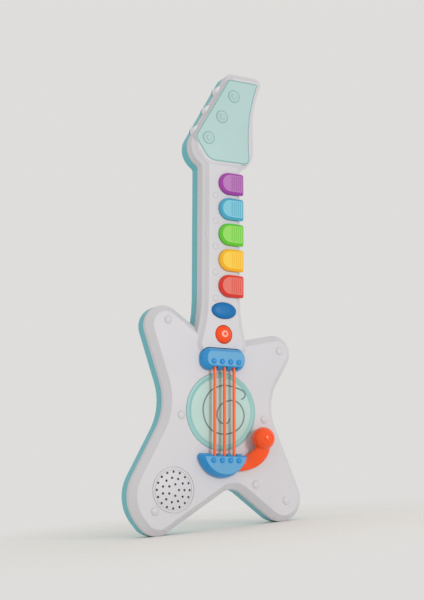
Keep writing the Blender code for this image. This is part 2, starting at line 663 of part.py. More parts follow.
def electronics(stance):
    board = box(-32.0, 32.0, 3.6, 5.2, -34.0, 34.0)
    finish(board, "main_board", "board", stance)
    chip = turned("chip", 12.0, 8.0, [(7.0, 5.5), (6.2, 6.6), (3.0, 7.2)], 14)
    finish(chip, "sound_chip", "black", stance)
    frame = turned("speaker_frame", SPEAKER_X, SPEAKER_Z,
                   [(20.5, 3.2), (20.5, 4.6), (17.5, 5.0), (11.0, 13.0), (11.0, 14.2)], 20)
    cut(frame, turned("tool", SPEAKER_X, SPEAKER_Z, [(17.6, 2.0), (17.0, 4.4), (9.4, 12.6), (9.4, 15.0)], 20))
    finish(frame, "speaker_frame", "steel", stance)
    cone = turned("speaker_cone", SPEAKER_X, SPEAKER_Z,
                  [(16.8, 3.4), (15.6, 4.2), (8.6, 10.6), (8.6, 11.4)], 20)
    cut(cone, turned("tool", SPEAKER_X, SPEAKER_Z, [(15.6, 3.0), (14.8, 3.8), (7.4, 10.6)], 20))
    finish(cone, "speaker_cone", "paper", stance)
    magnet = turned("speaker_magnet", SPEAKER_X, SPEAKER_Z, [(13.0, 14.5), (13.0, 20.0)], 20)
    finish(magnet, "speaker_magnet", "steel", stance)


# ---------------------------------------------------------------- batteries, door and screws

def batteries(stance):
    for i in (-1, 0, 1):
        x = i * CELL_PITCH
        low, high = CELL_Z - CELL_LENGTH / 2, CELL_Z + CELL_LENGTH / 2
        cell = rod("cell", x, CELL_Y, low, high, CELL_R, 16)
        nub = high if i else low
        add(cell, rod("tool", x, CELL_Y, nub - 1.0, nub + 1.0, 2.6, 10))
        finish(cell, f"battery_cell_{i + 2}", "cell", stance)
    low, high = BAY_LOW_Z + GAP, BAY_HIGH_Z - GAP
    finish(box(-22.5, 22.5, 12.0, 24.0, low, low + 0.6), "contact_strip_lower", "steel", stance)
    finish(box(-22.5, 22.5, 12.0, 24.0, high - 0.6, high), "contact_strip_upper", "steel", stance)


def battery_door(stance):
    hinge = (0.0, DOOR_HINGE_Y, DOOR_HINGE_Z)
    door = layers("battery_door", [(26.2, rectangle(-DOOR_HALF_X, DOOR_HALF_X, DOOR_LOW_Z, DOOR_HIGH_Z)),
                                   (BACK, rectangle(-DOOR_HALF_X, DOOR_HALF_X, DOOR_LOW_Z, DOOR_HIGH_Z))])
    cut(door, turned("tool", 0.0, DOOR_SCREW_Z, [(1.3, 25.0), (1.3, BACK + 1.0)], 8))
    cut(door, turned("tool", 0.0, DOOR_SCREW_Z, [(3.1, 27.0), (3.1, BACK + 1.0)], 12))
    cut(door, joined([box(-18.0, 18.0, BACK - 0.6, BACK + 1.0, z, z + 1.4) for z in (7.0, 10.6, 14.2)]))
    finish(door, "battery_door", "teal", stance, hinge)
    screw = turned("screw", 0.0, DOOR_SCREW_Z, [(1.0, 22.0), (1.0, 27.4)], 6)
    add(screw, screw_head(0.0, DOOR_SCREW_Z, 27.0 + GAP / 2, 2.8, 0.8))
    finish(screw, "battery_door_screw", "steel", stance, hinge)


def screw_head(x, z, base, radius, height):
    """Pan head with a cross slot, facing the back."""
    head = turned("tool", x, z, [(radius, base), (radius, base + 0.5 * height),
                                 (0.6 * radius, base + height)], 10)
    arm, half = 0.55 * radius, 0.4
    cross = [(half, half), (half, arm), (-half, arm), (-half, half), (-arm, half), (-arm, -half),
             (-half, -half), (-half, -arm), (half, -arm), (half, -half), (arm, -half), (arm, half)]
    cut(head, prism([(x + dx, z + dz) for dx, dz in cross], base + height - 0.6, base + height + 1.0))
    return head


def shell_screws(stance):
    for i, (x, z) in enumerate(SCREW_SPOTS + NECK_SCREWS, 1):
        screw = turned("screw", x, z, [(1.1, 6.0), (1.1, 20.8)], 6)
        add(screw, screw_head(x, z, 20.3, 2.9, 1.6))
        finish(screw, f"shell_screw_{i}", "steel", stance)


def stance_angle():
    """Lean that brings both foot arcs down to one level."""
    dx = RIGHT_FOOT[0] - LEFT_FOOT[0]
    dz = RIGHT_FOOT[1] - LEFT_FOOT[1]
    return math.atan2(dz, dx) - math.asin((RIGHT_FOOT[2] - LEFT_FOOT[2]) / math.hypot(dx, dz))


def stand_on_floor(stance):
    """Move the whole toy so that the middle of its underside's box is the origin."""
    bpy.context.view_layer.update()
    corners = [obj.matrix_world @ vertex.co for obj in stance.children for vertex in obj.data.vertices]
    low = [min(corner[axis] for corner in corners) for axis in range(3)]
    high = [max(corner[axis] for corner in corners) for axis in range(3)]
    stance.location = (-(low[0] + high[0]) / 2, -(low[1] + high[1]) / 2, -low[2])


def main():
    clear_scene()
    stance = bpy.data.objects.new("stance", None)
    bpy.context.scene.collection.objects.link(stance)
    front_shell(stance)
    back_shell(stance)
    sound_disc(stance)
    head_panel(stance)
    tuning_pegs(stance)
    chord_keys(stance)
    heel_buttons(stance)
    pads_and_board(stance)
    strings(stance)
    bridges(stance)
    whammy(stance)
    electronics(stance)
    batteries(stance)
    battery_door(stance)
    shell_screws(stance)
    stance.rotation_euler = (0.0, stance_angle(), 0.0)
    stand_on_floor(stance)


main()
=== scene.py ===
"""Toy electric guitar: the looks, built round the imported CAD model.

Shapes are worked out in millimetres in the design frame (origin at the centre of the sound disc,
+Z up the neck, front facing -Y) and placed by the CAD's own disc and strum axis.
"""
import json
import math

import bmesh
import bpy
from mathutils import Matrix, Vector


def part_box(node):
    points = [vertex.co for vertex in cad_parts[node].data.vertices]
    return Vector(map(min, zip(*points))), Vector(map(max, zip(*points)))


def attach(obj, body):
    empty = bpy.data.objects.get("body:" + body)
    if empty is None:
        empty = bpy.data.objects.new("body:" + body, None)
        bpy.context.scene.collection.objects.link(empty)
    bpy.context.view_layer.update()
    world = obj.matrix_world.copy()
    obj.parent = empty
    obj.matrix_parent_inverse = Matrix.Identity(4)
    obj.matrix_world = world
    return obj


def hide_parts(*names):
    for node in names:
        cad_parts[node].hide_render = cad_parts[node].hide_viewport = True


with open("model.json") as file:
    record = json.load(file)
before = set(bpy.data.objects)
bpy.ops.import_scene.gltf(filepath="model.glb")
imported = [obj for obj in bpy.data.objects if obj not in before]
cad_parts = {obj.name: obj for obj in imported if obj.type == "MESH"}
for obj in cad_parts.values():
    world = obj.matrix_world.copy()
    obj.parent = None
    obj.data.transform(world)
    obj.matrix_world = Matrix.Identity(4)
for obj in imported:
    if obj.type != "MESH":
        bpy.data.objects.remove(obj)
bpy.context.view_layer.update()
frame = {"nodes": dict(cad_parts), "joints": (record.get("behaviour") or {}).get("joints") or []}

MM = 0.001
GAP = 0.3
WALL = 2.2
FINE = math.radians(6)
COARSE = math.radians(15)

# Depths, front to back
NECK_FACE, PLATEAU, NECK_RIM, BODY_RIM = -4.2, 0.0, 0.6, 6.6
PARTING, BACK_EDGE, BACK = 12.0, 24.6, 28.0
BODY_BEVEL, NECK_BEVEL = 6.8, 6.4
LIP = 0.35

# Outline arcs: x, z, radius, 1 where the outline bulges and -1 where it is hollow
BODY_ARCS = [(15.6, -99.1, 19.0, -1), (75.5, -89.0, 24.5, 1), (114.6, 7.5, 50.0, -1), (68.3, 66.0, 19.5, 1),
             (4.4, 102.2, 30.0, -1), (-64.0, 87.0, 21.2, 1), (-125.3, 9.5, 62.0, -1), (-58.9, -87.0, 42.0, 1),
             (-70.0, -106.3, 21.0, 1)]
NECK_ARCS = [(17.0, 70.0, 14.0, 1), (173.2, 120.0, 150.0, -1), (27.2, 261.0, 4.0, -1), (14.0, 289.0, 26.5, 1),
             (154.7, 317.0, 115.0, -1), (42.8, 367.3, 7.2, 1), (13.2, 367.3, 7.2, 1), (-14.0, 286.0, 22.5, 1),
             (-27.2, 262.6, 4.0, -1), (-173.2, 120.0, 150.0, -1), (-17.0, 70.0, 14.0, 1)]
PANEL_ARCS = [(26.0, 277.0, 6.2, 1), (204.5, 302.0, 173.0, -1), (40.6, 363.8, 2.0, 1), (8.1, 363.3, 2.0, 1),
              (-26.7, 294.4, 6.0, 1), (-9.0, 285.6, 15.6, 1)]
PANEL_PROUD, PANEL_DEPTH = 0.6, 0.6
PANEL_DOMES, PANEL_DOME_R = [(13.0, 346.5), (-1.9, 320.8), (-18.0, 294.6)], 6.6
PLATE_BORDER, PLATE_SKIRT = 0.6, 0.8

KEY_NAMES = ["key_purple", "key_blue", "key_green", "key_yellow", "key_red"]
KEY_TOP_Z, KEY_PITCH, KEY_R, KEY_CORNER, KEY_ARC_X = 245.8, 28.2, 12.0, 2.6, 6.6
KEY_RIGHT, KEY_THROAT_RIGHT = 23.8, 19.4
KEY_TOP, KEY_TRAVEL = -9.2, 1.8
FLANGE_FRONT, FLANGE_BACK = -1.7, -0.2
BUTTON_X = 0.9
MODE_Z, MODE_HALF_X, MODE_HALF_Z, MODE_TOP = 106.2, 14.6, 8.8, -7.4
POWER_Z, POWER_R, POWER_TOP = 80.8, 9.9, -7.6
STRING_X, STRING_R, STRING_Y = (-11.3, 0.0, 11.3), 1.6, -7.5
ROCKER_Z, ROCKER_Y, ROCKER_PIN_R = 49.0, 3.0, 1.2
BRIDGE_TOP, BRIDGE_SHOULDER, BRIDGE_FOOT = -11.9, -5.0, -0.4
BUMP_X, BUMP_R = (-14.7, -4.9, 4.9, 14.7), 2.6
UPPER_BUMPS_Z, LOWER_BUMPS_Z = 50.9, -51.0
UPPER_BRIDGE, UPPER_BRIDGE_CORNER = (-25.8, 25.8, 42.5, 66.1), 10.0
LOWER_BRIDGE_R, LOWER_BRIDGE_Z, LOWER_BRIDGE_TOP_Z, LOWER_BRIDGE_CORNER = 28.9, -40.0, -43.5, 4.0
WHAMMY_X, WHAMMY_Z, WHAMMY_BALL, WHAMMY_BALL_R = 12.0, -55.0, (43.3, -13.0, -27.5), 12.0
DISC_R, DISC_PROUD, DISC_RIM_R = 40.7, 0.9, 34.7
SPEAKER_X, SPEAKER_Z, SPEAKER_R = -54.4, -81.2, 23.0
GRILLE_RINGS = ((6.0, 5), (12.2, 11), (18.3, 16))
SCREW_SPOTS = [(-62.0, 92.5), (-46.0, -5.0), (-74.5, -102.5), (71.5, 68.0), (52.0, -6.5), (41.5, -75.0),
               (78.5, -91.5)]
NECK_SCREWS = [(-16.0, 189.4), (-14.0, 290.0), (24.0, 345.0)]
FRET_X, DOME_R = -8.8, 4.4
BAY = (-23.5, 23.5, -41.0, 17.0)
DOOR = (-26.1, 26.1, -43.6, 30.0)
DOOR_SWING, DOOR_SCREW_Z = 0.8, 24.5
PEG_SPOTS, PEG_R = [(1.0, 352.6), (-12.2, 328.4), (-26.0, 303.3)], 6.6
PEG_FRONT, PEG_BACK, PEG_BUMP_BACK = 1.6, 11.7, 15.8

# The design frame's place, read off the CAD
strum = next(j for j in frame["joints"] if j["name"] == "strum_rock")
LEAN = math.atan2(strum["axis"][0], strum["axis"][2])
disc_low, disc_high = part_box("sound_disc")
STANCE = Matrix.Translation(((disc_low.x + disc_high.x) / 2, disc_low.y + DISC_PROUD * MM,
                             (disc_low.z + disc_high.z) / 2)) @ Matrix.Rotation(LEAN, 4, "Y")


# ---------------------------------------------------------------- outlines and profiles

def tangent_direction(first, second):
    dx, dz = second[0] - first[0], second[1] - first[1]
    offset = second[3] * second[2] - first[3] * first[2]
    run = math.sqrt(max(dx * dx + dz * dz - offset * offset, 0.0))
    return math.atan2(run * dz - offset * dx, run * dx + offset * dz)


def outline(arcs, inset=0.0, step=FINE):
    """Closed chain of arcs and tangents, moved inwards by inset, as (x, z) points."""
    points = []
    for i, (cx, cz, radius, turn) in enumerate(arcs):
        enter = tangent_direction(arcs[i - 1], arcs[i])
        leave = tangent_direction(arcs[i], arcs[(i + 1) % len(arcs)])
        sweep = turn * ((turn * (leave - enter)) % math.tau)
        pieces = max(2, math.ceil(abs(sweep) / step - 0.001))
        reach = turn * radius - inset
        for k in range(pieces + 1):
            heading = enter + sweep * k / pieces
            points.append((cx + reach * math.sin(heading), cz - reach * math.cos(heading)))
    return points


def circle(cx, cz, radius, count=48):
    return [(cx + radius * math.cos(math.tau * k / count), cz + radius * math.sin(math.tau * k / count))
            for k in range(count)]


def ellipse(cx, cz, half_x, half_z, count=64):
    return [(cx + half_x * math.cos(math.tau * k / count), cz + half_z * math.sin(math.tau * k / count))
            for k in range(count)]


def rounded(limits, radius, inset=0.0, step=math.radians(10)):
    x0, x1, z0, z1 = limits
    corners = [(x1 - radius, z0 + radius), (x1 - radius, z1 - radius),
               (x0 + radius, z1 - radius), (x0 + radius, z0 + radius)]
    return outline([(x, z, radius, 1) for x, z in corners], inset, step)


def key_outline(z, right=KEY_RIGHT, inset=0.0, step=math.radians(8)):
    """D shape: round on the left, straight on the right."""
    side, across = KEY_R - KEY_CORNER, right - KEY_CORNER
    return outline([(across, z - side, KEY_CORNER, 1), (across, z + side, KEY_CORNER, 1),
                    (KEY_ARC_X, z, KEY_R, 1)], inset, step)


def half_moon(inset=0.0, step=FINE):
    corner = LOWER_BRIDGE_CORNER
    level = LOWER_BRIDGE_TOP_Z - corner
    end = math.sqrt((LOWER_BRIDGE_R - corner) ** 2 - (level - LOWER_BRIDGE_Z) ** 2)
    return outline([(0.0, LOWER_BRIDGE_Z, LOWER_BRIDGE_R, 1), (end, level, corner, 1),
                    (-end, level, corner, 1)], inset, step)


def fillet(corners, turn_step=math.radians(14)):
    """Polyline (u, v, radius) with its inner corners rounded, as (u, v) points."""
    points = []
    for i, (u, v, radius) in enumerate(corners):
        here = Vector((u, v))
        if radius <= 0.0 or i in (0, len(corners) - 1):
            points.append((u, v))
            continue
        back = (Vector(corners[i - 1][:2]) - here).normalized()
        ahead = (Vector(corners[i + 1][:2]) - here).normalized()
        angle = back.angle(ahead)
        reach = radius / math.tan(angle / 2)
        centre = here + (back + ahead).normalized() * (radius / math.sin(angle / 2))
        start, end = here + back * reach - centre, here + ahead * reach - centre
        turn = start.angle_signed(end)
        pieces = max(2, math.ceil(abs(turn) / turn_step))
        for k in range(pieces + 1):
            angle_k = -turn * k / pieces
            c, s = math.cos(angle_k), math.sin(angle_k)
            points.append((centre.x + start.x * c - start.y * s, centre.y + start.x * s + start.y * c))
    return points


# ---------------------------------------------------------------- meshes

def solid(loops):
    """Closed body through loops of equal length, each a list of (x, y, z) in millimetres."""
    mesh = bpy.data.meshes.new("tool")
    bm = bmesh.new()
    rings = [[bm.verts.new(Vector(p) * MM) for p in loop] for loop in loops]
    for low, high in zip(rings, rings[1:]):
        for k in range(len(low)):
            j = (k + 1) % len(low)
            bm.faces.new((low[k], low[j], high[j], high[k]))
    bm.faces.new(rings[0])
    bm.faces.new(rings[-1])
    bmesh.ops.recalc_face_normals(bm, faces=bm.faces)
    bm.to_mesh(mesh)
    bm.free()
    obj = bpy.data.objects.new("tool", mesh)
    bpy.context.scene.collection.objects.link(obj)
    return obj


def layers(steps):
    """Body through flat outlines at rising depth: steps are (y, points) pairs."""
    return solid([[(x, y, z) for x, z in points] for y, points in steps])


def shaped(make_outline, profile):
    """Body whose outline is inset along a profile of (inset, y) points."""
    return layers([(y, make_outline(inset)) for inset, y in profile])


def prism(points, y0, y1):
    return layers([(y0, points), (y1, points)])


def block(x0, x1, y0, y1, z0, z1):
    return prism([(x0, z0), (x1, z0), (x1, z1), (x0, z1)], y0, y1)


def turned(cx, cz, profile, count=48):
    """Solid of revolution about an axis along Y: profile is (radius, y) pairs, front to back."""
    return layers([(y, circle(cx, cz, radius, count)) for radius, y in profile])


def rod(x, y, z0, z1, radius, count=28, ends=0.0):
    """Round bar along Z, its ends rounded off."""
    stations = [(z0, radius - ends), (z0 + ends, radius), (z1 - ends, radius), (z1, radius - ends)]
    if ends == 0.0:
        stations = [(z0, radius), (z1, radius)]
    return solid([[(x + r * math.cos(math.tau * k / count), y + r * math.sin(math.tau * k / count), z)
                   for k in range(count)] for z, r in stations])


def dome(cx, cz, base, radius, height, count=32):
    """Low round button of the moulding, its foot sunk into the face."""
    steps = [(radius * math.sin(a), base - height * math.cos(a))
             for a in (0.12, 0.35, 0.6, 0.85, 1.1, 1.35, 1.55)]
    return turned(cx, cz, steps + [(radius, base + 0.8)], count)


def combine(obj, tool, operation):
    step = obj.modifiers.new("step", "BOOLEAN")
    step.operation = operation
    step.solver = "EXACT"
    step.object = tool
    bpy.context.view_layer.update()
    graph = bpy.context.evaluated_depsgraph_get()
    result = bpy.data.meshes.new_from_object(obj.evaluated_get(graph))
    obj.modifiers.clear()
    obj.data = result
    bpy.data.objects.remove(tool, do_unlink=True)


def add(obj, *tools):
    for tool in tools:
        combine(obj, tool, "UNION")


def cut(obj, *tools):
    for tool in tools:
        combine(obj, tool, "DIFFERENCE")


def joined(tools):
    base = tools[0]
    bm = bmesh.new()
    for tool in tools:
        bm.from_mesh(tool.data)
    bm.to_mesh(base.data)
    bm.free()
    for tool in tools[1:]:
        bpy.data.objects.remove(tool, do_unlink=True)
    return base


def smoothed(obj, angle):
    obj.data.shade_smooth()
    obj.data.set_sharp_from_angle(angle=math.radians(angle))
    weighted = obj.modifiers.new("normals", "WEIGHTED_NORMAL")
    weighted.keep_sharp = True


def show(obj, name, body, materials, replaces=(), region=None, angle=35.0):
    """Place a finished piece in the row frame and say what it rides on and stands for.

    region(x, y, z, normal) gives a face's material index from its centre in the design frame."""
    obj.name = name
    obj.data.name = name
    obj.data.materials.clear()
    for made in materials:
        obj.data.materials.append(made)
    if region:
        for face in obj.data.polygons:
            centre = face.center / MM
            face.material_index = region(centre.x, centre.y, centre.z, face.normal)
    obj.data.transform(STANCE)
    smoothed(obj, angle)
    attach(obj, body)
    if replaces:
        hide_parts(*replaces)


# ---------------------------------------------------------------- materials

def linear(value):
    value /= 255.0
    return value / 12.92 if value <= 0.04045 else ((value + 0.055) / 1.055) ** 2.4


def tint(rgb):
    return (*[linear(c) for c in rgb], 1.0)


def surface(name, rgb, roughness=0.3, spread=0.06, grain=0.02, grain_mm=0.35, wear=0.05, metallic=0.0,
            speckle=0.015, coat=0.0, specular=0.5):
    """Procedural moulded or metal surface: cloudy colour, uneven gloss, fine grain, fine scuffs."""
    made = bpy.data.materials.new(name)
    made.use_nodes = True
    tree = made.node_tree
    nodes, links = tree.nodes, tree.links
    shader = nodes["Principled BSDF"]
    shader.inputs["Metallic"].default_value = metallic
    shader.inputs["Specular IOR Level"].default_value = specular
    shader.inputs["Coat Weight"].default_value = coat
    shader.inputs["Coat Roughness"].default_value = 0.12
    place = nodes.new("ShaderNodeTexCoord")

    def cloud(scale, detail, rough=0.5):
        node = nodes.new("ShaderNodeTexNoise")
        node.inputs["Scale"].default_value = scale
        node.inputs["Detail"].default_value = detail
        node.inputs["Roughness"].default_value = rough
        links.new(place.outputs["Object"], node.inputs["Vector"])
        return node.outputs["Fac"]

    def span(value, low, high, start=0.3, stop=0.7):
        node = nodes.new("ShaderNodeMapRange")
        node.inputs["From Min"].default_value = start
        node.inputs["From Max"].default_value = stop
        node.inputs["To Min"].default_value = low
        node.inputs["To Max"].default_value = high
        links.new(value, node.inputs["Value"])
        return node.outputs["Result"]

    def feed(socket, value):
        if isinstance(value, bpy.types.NodeSocket):
            links.new(value, socket)
        else:
            socket.default_value = value

    def blend(factor, first, second):
        node = nodes.new("ShaderNodeMix")
        node.data_type = "RGBA"
        for index, value in ((0, factor), (6, first), (7, second)):
            feed(node.inputs[index], value)
        return node.outputs[2]

    def math_node(operation, first, second):
        node = nodes.new("ShaderNodeMath")
        node.operation = operation
        feed(node.inputs[0], first)
        feed(node.inputs[1], second)
        return node.outputs[0]

    base = tint(rgb)
    darker = (*[c * (1.0 - spread) for c in base[:3]], 1.0)
    lighter = (*[min(1.0, c * (1.0 + 0.5 * spread) + 0.004) for c in base[:3]], 1.0)
    colour = blend(span(cloud(22.0, 4.0), 0.0, 1.0), darker, lighter)
    flecks = span(cloud(1900.0, 1.0), 0.0, speckle, 0.66, 0.8)
    colour = blend(flecks, colour, (*[c * 0.55 for c in base[:3]], 1.0))
    shape = nodes.new("ShaderNodeNewGeometry")
    edges = span(shape.outputs["Pointiness"], 0.0, wear, 0.52, 0.62)
    scuffed = math_node("MULTIPLY", edges, span(cloud(160.0, 5.0, 0.65), 0.2, 1.0, 0.4, 0.6))
    pale = (*[min(1.0, c * 0.55 + 0.42) for c in base[:3]], 1.0)
    colour = blend(scuffed, colour, pale)
    links.new(colour, shader.inputs["Base Color"])

    gloss = span(cloud(9.0, 3.0), -0.05, 0.05)
    scratches = nodes.new("ShaderNodeTexNoise")
    scratches.inputs["Scale"].default_value = 90.0
    scratches.inputs["Detail"].default_value = 6.0
    stretch = nodes.new("ShaderNodeMapping")
    stretch.inputs["Rotation"].default_value = (0.3, 0.7, 0.9)
    stretch.inputs["Scale"].default_value = (1.0, 1.0, 26.0)
    links.new(place.outputs["Object"], stretch.inputs["Vector"])
    links.new(stretch.outputs["Vector"], scratches.inputs["Vector"])
    fine = span(scratches.outputs["Fac"], 0.0, 0.07, 0.55, 0.75)
    rough = math_node("ADD", math_node("ADD", gloss, fine), roughness)
    links.new(rough, shader.inputs["Roughness"])

    bump = nodes.new("ShaderNodeBump")
    bump.inputs["Strength"].default_value = 0.35
    bump.inputs["Distance"].default_value = grain * MM
    links.new(cloud(1.0 / (grain_mm * MM), 2.0), bump.inputs["Height"])
    wave = nodes.new("ShaderNodeBump")
    wave.inputs["Strength"].default_value = 0.25
    wave.inputs["Distance"].default_value = 0.05 * MM
    links.new(cloud(45.0, 1.0), wave.inputs["Height"])
    links.new(wave.outputs["Normal"], bump.inputs["Normal"])
    links.new(bump.outputs["Normal"], shader.inputs["Normal"])
    return made


WHITE = surface("white_shell", (208, 206, 210), 0.42, 0.02, wear=0.02)
TEAL = surface("teal_shell", (96, 184, 194), 0.36, 0.05)
# The darker mint on the disc's outer ring is painted shade at the disc's edge.
MINT_SHADED_RIM = surface("mint_shaded_rim", (144, 194, 191), 0.36, 0.04)
MINT = surface("mint_face", (184, 214, 207), 0.4, 0.03, specular=0.3)
SWIRL = surface("swirl_print", (122, 140, 142), 0.5, 0.05, specular=0.2)
AQUA = surface("aqua_panel", (178, 206, 204), 0.4, 0.03, specular=0.35)
# The darker aqua on the panel's sunken edge and in the dome grooves is painted shade in the recesses.
AQUA_PAINTED_SHADE = surface("aqua_panel_painted_shade", (140, 188, 184), 0.45, 0.04)
PEG = surface("peg_white", (226, 225, 228), 0.34, 0.03)
# Each key's lighter top colour is painted light, and its darker, more saturated side colour is painted shade:
# lit and shaded copies of one colour.
KEY_LIT_AND_SHADED_COLOURS = {
    "key_purple": ((180, 112, 180), (164, 56, 166)),
    "key_blue": ((120, 196, 216), (70, 172, 204)),
    "key_green": ((142, 216, 82), (96, 204, 36)),
    "key_yellow": ((245, 200, 44), (252, 186, 14)),
    "key_red": ((224, 104, 86), (226, 44, 32)),
}
BLUE_BUTTON = surface("mode_blue", (6, 112, 178), 0.4, 0.06, specular=0.25)
ORANGE_BUTTON = surface("power_orange", (255, 76, 6), 0.28, 0.04, specular=0.4)
ORANGE_MARK = surface("power_mark", (250, 178, 152), 0.3, 0.04)
STRING = surface("string_orange", (255, 104, 40), 0.3, 0.04, specular=0.4)
# The lighter blue on the bridge tops is painted light, and the more saturated blue on their sides is painted
# shade.
BRIDGE_LIT_TOP_BLUE = surface("bridge_lit_top", (94, 164, 208), 0.38, 0.04, specular=0.35)
BRIDGE_SHADED_SIDE_BLUE = surface("bridge_shaded_side", (36, 150, 216), 0.3, 0.05, specular=0.4)
WHAMMY = surface("whammy_red", (255, 84, 8), 0.24, 0.03, coat=0.2, specular=0.4)
RUBBER = surface("pad_rubber", (150, 150, 154), 0.75, 0.08, 0.05, 0.6)
BOARD = surface("circuit_board", (34, 104, 58), 0.4, 0.25, 0.03, 1.2)
BLACK = surface("black_plastic", (32, 32, 34), 0.4, 0.1)
CONE = surface("cone_paper", (40, 40, 42), 0.85, 0.2, 0.1, 0.8)
STEEL = surface("plated_steel", (176, 178, 182), 0.3, 0.1, 0.02, 0.5, metallic=1.0)
MAGNET = surface("ferrite_and_steel", (120, 122, 126), 0.42, 0.15, metallic=1.0)
JACKET = surface("cell_jacket", (196, 158, 70), 0.3, 0.12, metallic=0.8)


# ---------------------------------------------------------------- shells

def key_z(index):
    return KEY_TOP_Z - index * KEY_PITCH


def front_shell():
    body_profile = fillet([(16.0, PLATEAU, 0), (BODY_BEVEL, PLATEAU, 1.2), (0.0, BODY_RIM, 1.5),
                           (0.0, PARTING - LIP, 0), (LIP, PARTING, 0)])[1:]
    neck_profile = fillet([(12.0, NECK_FACE, 0), (NECK_BEVEL, NECK_FACE, 1.0), (3.0, -1.1, 1.4),
                           (0.0, NECK_RIM, 1.6), (0.0, PARTING - LIP, 0), (LIP, PARTING, 0)])[1:]
    shell = shaped(lambda inset: outline(BODY_ARCS, inset), body_profile)
    add(shell, shaped(lambda inset: outline(NECK_ARCS, inset), neck_profile))
    plate = [(0.0, NECK_FACE), (-PLATE_BORDER + 0.25, NECK_FACE), (-PLATE_BORDER, NECK_FACE + 0.25),
             (-PLATE_SKIRT, NECK_RIM - 2.2), (-PLATE_SKIRT, NECK_RIM - 0.6)]
    add(shell, shaped(lambda inset: outline(PANEL_ARCS, inset), plate))
    cut(shell,
        shaped(lambda inset: outline(BODY_ARCS, inset, COARSE),
               [(BODY_BEVEL + 1.0, PLATEAU + WALL), (WALL, BODY_RIM + 0.9), (WALL, PARTING + 1.0)]),
        shaped(lambda inset: outline(NECK_ARCS, inset, COARSE),
               [(NECK_BEVEL + 1.0, NECK_FACE + WALL), (WALL, NECK_RIM + 0.9), (WALL, PARTING + 1.0)]))
    posts = [turned(x, z, [(3.8, PLATEAU + 1.2), (3.8, PARTING - 0.4)], 20) for x, z in SCREW_SPOTS]
    posts += [turned(x, z, [(3.6, NECK_FACE + 1.4), (3.6, PARTING - 0.4)], 20) for x, z in NECK_SCREWS]
    posts.append(turned(WHAMMY_X, WHAMMY_Z, [(3.0, -5.2), (3.0, 8.0)], 20))
    for side in (-1, 1):
        for offset in (-6.6, 5.0):
            near = side * ROCKER_Z + offset
            posts.append(block(-4.0, 4.0, PLATEAU + 1.0, 6.0, near, near + 1.6))
    add(shell, joined(posts))
    holes = [turned(x, z, [(1.4, 4.0), (1.4, PARTING + 1.0)], 12) for x, z in SCREW_SPOTS]
    holes += [turned(x, z, [(1.4, 1.6), (1.4, PARTING + 1.0)], 12) for x, z in NECK_SCREWS]
    holes.append(turned(WHAMMY_X, WHAMMY_Z, [(1.4, -6.0), (1.4, 4.0)], 12))
    holes += [rod(0.0, ROCKER_Y, side * ROCKER_Z - 8.0, side * ROCKER_Z + 8.0, ROCKER_PIN_R + GAP, 12)
              for side in (-1, 1)]
    cut(shell, joined(holes))
    x0, x1, z0, z1 = UPPER_BRIDGE
    seat = rounded((x0 - GAP, x1 + GAP, z0 - GAP, z1 + GAP), UPPER_BRIDGE_CORNER + GAP)
    cut(shell, prism(seat, -12.0, -0.1))
    slit = 0.25
    slots = [prism(key_outline(key_z(i), KEY_THROAT_RIGHT + 0.2, -0.22), -12.0, 2.6)
             for i in range(len(KEY_NAMES))]
    slots.append(prism(ellipse(BUTTON_X, MODE_Z, MODE_HALF_X + slit, MODE_HALF_Z + slit), -12.0, 2.6))
    slots.append(prism(circle(BUTTON_X, POWER_Z, POWER_R + slit, 64), -12.0, 2.6))
    slots += [block(-4.6, 4.6, -2.0, 4.0, side * ROCKER_Z - 3.0, side * ROCKER_Z + 3.0) for side in (-1, 1)]
    cut(shell, joined(slots))
    cut(shell, prism(circle(0.0, 0.0, DISC_R + 0.12, 128), -2.0, 0.9))
    cut(shell, prism(outline(PANEL_ARCS, -0.12), NECK_FACE - 1.0, NECK_FACE + PANEL_DEPTH + GAP))
    cut(shell, chin_channel())
    grille = [(19.5 * k / 10, -0.9 * (1 - (k / 10) ** 2) + 0.02) for k in range(1, 11)]
    add(shell, turned(SPEAKER_X, SPEAKER_Z, grille + [(19.5, 1.6)], 72))
    for radius, half, depth in ((SPEAKER_R, 0.5, 0.7), (20.3, 0.35, 0.5)):
        groove = prism(circle(SPEAKER_X, SPEAKER_Z, radius + half, 72), -1.0, depth)
        cut(groove, prism(circle(SPEAKER_X, SPEAKER_Z, radius - half, 72), -2.0, 2.0))
        cut(shell, groove)
    holes = []
    for radius, count in GRILLE_RINGS:
        for k in range(count):
            turn = math.tau * k / count
            holes.append(prism(circle(SPEAKER_X + radius * math.cos(turn),
                                      SPEAKER_Z + radius * math.sin(turn), 1.3, 14), -3.0, 4.0))
    cut(shell, joined(holes))
    cut(shell, joined([turned(x, z, [(PEG_R + 0.15, PEG_FRONT - 0.1), (PEG_R + 0.15, PARTING + 1.0)], 48)
                       for x, z in PEG_SPOTS]))
    domes = [dome(x, z, PLATEAU, DOME_R, 1.6) for x, z in SCREW_SPOTS]
    domes += [dome(FRET_X, key_z(i) - KEY_PITCH / 2, NECK_FACE, DOME_R - 0.8, 0.9, 28)
              for i in range(len(KEY_NAMES))]
    add(shell, joined(domes))
    show(shell, "vis_front_shell", "shell", [WHITE], ["front_shell"])


def chin_channel():
    """Cutter for a shallow V below the headstock plate, where it stops above the keys."""
    rim = outline(PANEL_ARCS, -3.2)
    path = [p for p in rim[-14:] if p[1] < 280.0] + [p for p in rim[:14] if p[1] < 276.0 and p[0] > 20.0]
    first, second = Vector(path[0]), Vector(path[1])
    path.insert(0, tuple(first + (first - second).normalized() * 5.0))
    loops = []
    for i, (x, z) in enumerate(path):
        run = (Vector(path[min(i + 1, len(path) - 1)]) - Vector(path[max(i - 1, 0)])).normalized()
        out = Vector((run.y, -run.x)) * 2.3
        loops.append([(x - out.x, NECK_FACE - 0.2, z - out.y), (x + out.x, NECK_FACE - 0.2, z + out.y),
                      (x, NECK_FACE + 1.2, z)])
    return solid(loops)


